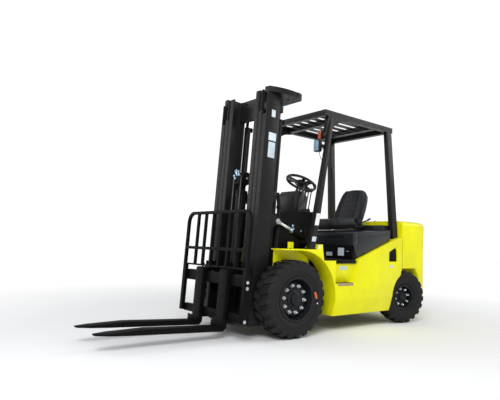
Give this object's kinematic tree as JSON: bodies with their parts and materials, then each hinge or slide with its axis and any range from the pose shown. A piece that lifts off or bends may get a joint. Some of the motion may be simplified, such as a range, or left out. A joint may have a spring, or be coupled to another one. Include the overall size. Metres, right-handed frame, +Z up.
{
  "type": "counterbalance forklift truck",
  "caption": "Ride-on counterbalance forklift with a three-stage mast, hook-on forks, load backrest, slatted overhead guard, hinged hood with seat, and rear-wheel steering.",
  "frame": {"origin": "on the ground at the middle of the truck's length and width", "axes": "forks towards -Y, counterweight towards +Y, the truck's left side towards +X, up is +Z"},
  "size_m": [1.2646, 3.8538, 2.3185],
  "materials": {
    "body_paint": "bright yellow gloss paint",
    "mast_paint": "satin charcoal paint with rubbed edges",
    "guard_paint": "satin dark grey paint",
    "hood_paint": "satin blue-grey paint",
    "frame_paint": "satin black paint",
    "wheel_paint": "satin dark paint",
    "tyre_rubber": "dusty black rubber",
    "rod_chrome": "hard chrome, polished",
    "chain_steel": "oiled dark steel",
    "seat_vinyl": "ribbed black vinyl",
    "cabin_plastic": "moulded black plastic",
    "engine_iron": "dull cast iron",
    "lamp_clear": "clear lens in a dark housing",
    "lamp_amber": "amber lens"
  },
  "bodies": {
    "chassis": {"chassis_frame": "frame_paint", "side_body_left": "body_paint", "side_body_right": "body_paint", "counterweight": "body_paint", "floor_plate": "frame_paint", "step_treads": "cabin_plastic", "front_cowl": "guard_paint", "tilt_anchors": "frame_paint", "dash_console": "cabin_plastic", "steering_column": "cabin_plastic", "hydraulic_levers": "cabin_plastic", "kick_panel": "frame_paint", "radiator_cover": "hood_paint", "engine_block": "engine_iron", "transmission": "engine_iron", "guard_roof": "guard_paint", "guard_front_legs": "guard_paint", "guard_rear_legs": "guard_paint", "headlamps": "lamp_clear", "turn_lamps": "lamp_amber", "drive_axle": "frame_paint", "steer_axle": "frame_paint"},
    "hood": {"hood": "hood_paint", "seat_base": "cabin_plastic", "seat_cushion": "seat_vinyl", "seat_back": "seat_vinyl"},
    "steering_wheel": {"steering_wheel": "cabin_plastic"},
    "wheel_front_left": {"tyre_front_left": "tyre_rubber", "rim_front_left": "wheel_paint"},
    "wheel_front_right": {"tyre_front_right": "tyre_rubber", "rim_front_right": "wheel_paint"},
    "knuckle_left": {"knuckle_left": "frame_paint"},
    "knuckle_right": {"knuckle_right": "frame_paint"},
    "wheel_rear_left": {"tyre_rear_left": "tyre_rubber", "rim_rear_left": "wheel_paint"},
    "wheel_rear_right": {"tyre_rear_right": "tyre_rubber", "rim_rear_right": "wheel_paint"},
    "track_rod": {"track_rod": "frame_paint"},
    "mast_outer": {"mast_outer_rails": "mast_paint", "mast_saddles": "mast_paint", "mast_outer_beams": "mast_paint", "lift_cylinder_barrels": "mast_paint", "lift_chains_rear": "chain_steel"},
    "mast_middle": {"mast_middle_rails": "mast_paint", "mast_middle_beams": "mast_paint", "lift_cylinder_rods": "rod_chrome"},
    "mast_inner": {"mast_inner_rails": "mast_paint", "mast_inner_beams": "mast_paint", "free_lift_barrel": "mast_paint", "free_lift_chains_rear": "chain_steel", "lift_chains_front": "chain_steel"},
    "free_lift_ram": {"free_lift_rod": "rod_chrome"},
    "carriage": {"fork_carriage": "mast_paint", "load_backrest": "mast_paint", "free_lift_chains_front": "chain_steel"},
    "fork_left": {"fork_left": "mast_paint"},
    "fork_right": {"fork_right": "mast_paint"},
    "tilt_barrels": {"tilt_barrels": "mast_paint"},
    "tilt_rods": {"tilt_rods": "rod_chrome"}
  },
  "joints": [
    {"name": "mast_tilt", "type": "hinge", "parent": "chassis", "child": "mast_outer", "pos_m": [0, -0.28003, 0.353], "axis": [1, 0, 0], "range_deg": [-2.9, 9.1]},
    {"name": "middle_lift", "type": "slide", "parent": "mast_outer", "child": "mast_middle", "axis": [0, 0.0541, 0.9985], "range_m": [0, 1.45], "deforming": ["lift_chains_rear"]},
    {"name": "inner_lift", "type": "slide", "parent": "mast_middle", "child": "mast_inner", "axis": [0, 0.0541, 0.9985], "range_m": [0, 1.45], "deforming": ["lift_chains_front"]},
    {"name": "free_lift", "type": "slide", "parent": "mast_inner", "child": "free_lift_ram", "axis": [0, 0.0541, 0.9985], "range_m": [0, 0.725], "deforming": ["free_lift_chains_rear"]},
    {"name": "carriage_lift", "type": "slide", "parent": "free_lift_ram", "child": "carriage", "axis": [0, 0.0541, 0.9985], "range_m": [0, 0.725], "deforming": ["free_lift_chains_front"]},
    {"name": "fork_left_shift", "type": "slide", "parent": "carriage", "child": "fork_left", "axis": [1, 0, 0], "range_m": [-0.12, 0.2]},
    {"name": "fork_right_shift", "type": "slide", "parent": "carriage", "child": "fork_right", "axis": [1, 0, 0], "range_m": [-0.2, 0.12]},
    {"name": "steer_left", "type": "hinge", "parent": "chassis", "child": "knuckle_left", "pos_m": [0.4, 1.41997, 0.29], "axis": [0, 0, 1], "range_deg": [-46.4, 73.6]},
    {"name": "steer_right", "type": "hinge", "parent": "chassis", "child": "knuckle_right", "pos_m": [-0.4, 1.41997, 0.29], "axis": [0, 0, 1], "range_deg": [-46.4, 73.6]},
    {"name": "track_rod_swing", "type": "hinge", "parent": "knuckle_left", "child": "track_rod", "pos_m": [0.42257, 1.51328, 0.318], "axis": [0, 0, 1], "range_deg": [-73.6, 46.4]},
    {"name": "wheel_rear_left_spin", "type": "hinge", "parent": "knuckle_left", "child": "wheel_rear_left", "pos_m": [0.48748, 1.39881, 0.29], "axis": [0.972, -0.2351, 0], "continuous": true},
    {"name": "wheel_rear_right_spin", "type": "hinge", "parent": "knuckle_right", "child": "wheel_rear_right", "pos_m": [-0.48748, 1.44113, 0.29], "axis": [0.972, -0.2351, 0], "continuous": true},
    {"name": "wheel_front_left_spin", "type": "hinge", "parent": "chassis", "child": "wheel_front_left", "pos_m": [0.505, -0.28003, 0.353], "axis": [1, 0, 0], "continuous": true},
    {"name": "wheel_front_right_spin", "type": "hinge", "parent": "chassis", "child": "wheel_front_right", "pos_m": [-0.505, -0.28003, 0.353], "axis": [1, 0, 0], "continuous": true},
    {"name": "steering_wheel_turn", "type": "hinge", "parent": "chassis", "child": "steering_wheel", "pos_m": [0, 0.25997, 1.51], "axis": [0, 0.42, 0.9075], "continuous": true},
    {"name": "hood_open", "type": "hinge", "parent": "chassis", "child": "hood", "pos_m": [0, 1.11197, 1.046], "axis": [-1, 0, 0], "range_deg": [0, 50]},
    {"name": "tilt_barrels_swing", "type": "hinge", "parent": "chassis", "child": "tilt_barrels", "pos_m": [0, 0.01997, 0.91], "axis": [1, 0, 0], "range_deg": [-2.6, 7.3]},
    {"name": "tilt_rods_slide", "type": "slide", "parent": "tilt_barrels", "child": "tilt_rods", "axis": [0, -0.9256, 0.3785], "range_m": [-0.033, 0.1]}
  ],
  "couplings": [
    {"joint": "inner_lift", "follows": "middle_lift", "ratio": 1},
    {"joint": "carriage_lift", "follows": "free_lift", "ratio": 1},
    {"joint": "steer_right", "follows": "steer_left", "ratio": 1},
    {"joint": "track_rod_swing", "follows": "steer_left", "ratio": -1},
    {"joint": "tilt_barrels_swing", "follows": "mast_tilt", "ratio": 0.782},
    {"joint": "tilt_rods_slide", "follows": "mast_tilt", "m_per_rad": 0.626}
  ]
}
